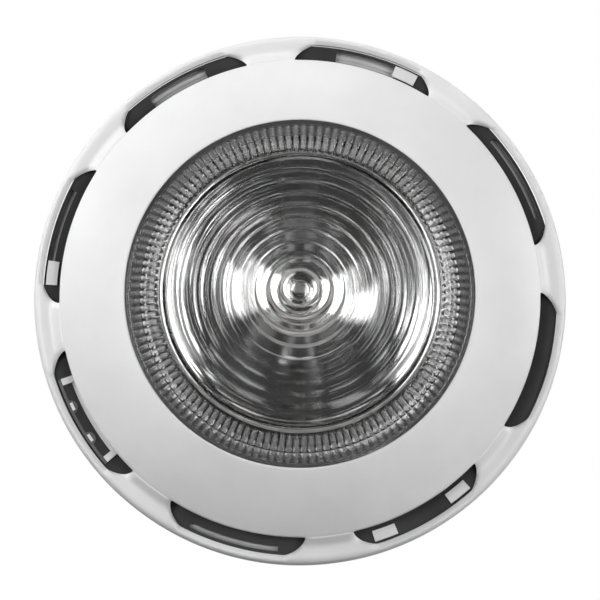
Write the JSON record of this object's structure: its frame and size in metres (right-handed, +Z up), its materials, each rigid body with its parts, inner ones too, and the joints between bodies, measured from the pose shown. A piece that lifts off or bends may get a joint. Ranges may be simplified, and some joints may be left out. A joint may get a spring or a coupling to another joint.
{
  "type": "underwater pool light",
  "caption": "Round wall-mounted underwater light: slotted white trim ring, clear fluted lens over a spun reflector, sealed bowl and rear cable gland.",
  "frame": {"origin": "on the lamp's axis, in the plane of the wall that the light is fastened to", "axes": "+Z up, +Y along the lamp's axis into the wall; the lens faces -Y"},
  "size_m": [0.27, 0.143, 0.27],
  "materials": {
    "white_abs": "satin moulded plastic",
    "black_nylon": "glass-filled nylon",
    "grey_abs": "satin moulded plastic",
    "graphite_abs": "fine moulded texture",
    "clear_lens": "clear, gloss",
    "silicone": "matte, translucent grey",
    "slate_abs": "satin moulded plastic",
    "spun_mirror": "bright anodised, spun",
    "stainless": "passivated",
    "brass": "turned",
    "quartz": "clear",
    "nickel": "nickel plated",
    "ceramic": "unglazed steatite",
    "tungsten": "drawn wire",
    "black_insulation": "silicone sleeve",
    "white_insulation": "silicone sleeve"
  },
  "bodies": {
    "root": {"ring_clips": "white_abs", "lock_bracket": "white_abs", "lock_tabs": "white_abs", "lock_rail": "slate_abs", "carrier_ring": "black_nylon", "clamp_ring": "black_nylon", "gland_body": "black_nylon", "gland_locknut": "black_nylon", "base_ring": "grey_abs", "housing_bowl": "graphite_abs", "lens": "clear_lens", "lens_gasket": "silicone", "wall_gasket": "silicone", "gland_o_ring": "silicone", "gland_seal": "silicone", "reflector": "spun_mirror", "clamp_screws": "stainless", "lamp_unit_screws": "stainless", "reflector_screws": "stainless", "holder_bracket": "stainless", "bracket_screws": "stainless", "holder_screws": "stainless", "gland_washer": "stainless", "terminal_block_screw": "stainless", "threaded_inserts": "brass", "holder_springs": "brass", "terminal_screws": "brass", "lamp_holder": "ceramic", "terminal_block": "ceramic", "live_lead": "black_insulation", "neutral_lead": "white_insulation"},
    "trim": {"face_ring": "white_abs"},
    "compression_nut": {"gland_nut": "black_nylon"},
    "bulb": {"bulb_glass": "quartz", "bulb_cap": "nickel", "bulb_base": "ceramic", "bulb_contacts": "brass", "filament": "tungsten"}
  },
  "joints": [
    {"name": "face_ring_twist", "type": "hinge", "parent": "root", "child": "trim", "pos_m": [0, -0.006, 0], "axis": [0, -1, 0], "range_deg": [0, 6.2]},
    {"name": "gland_nut_turn", "type": "hinge", "parent": "root", "child": "compression_nut", "pos_m": [0, 0.08, 0], "axis": [0, 1, 0], "range_deg": [0, 360]},
    {"name": "bulb_turn", "type": "hinge", "parent": "root", "child": "bulb", "pos_m": [0, 0.012, 0], "axis": [0, -1, 0], "range_deg": [-20, 0]}
  ]
}
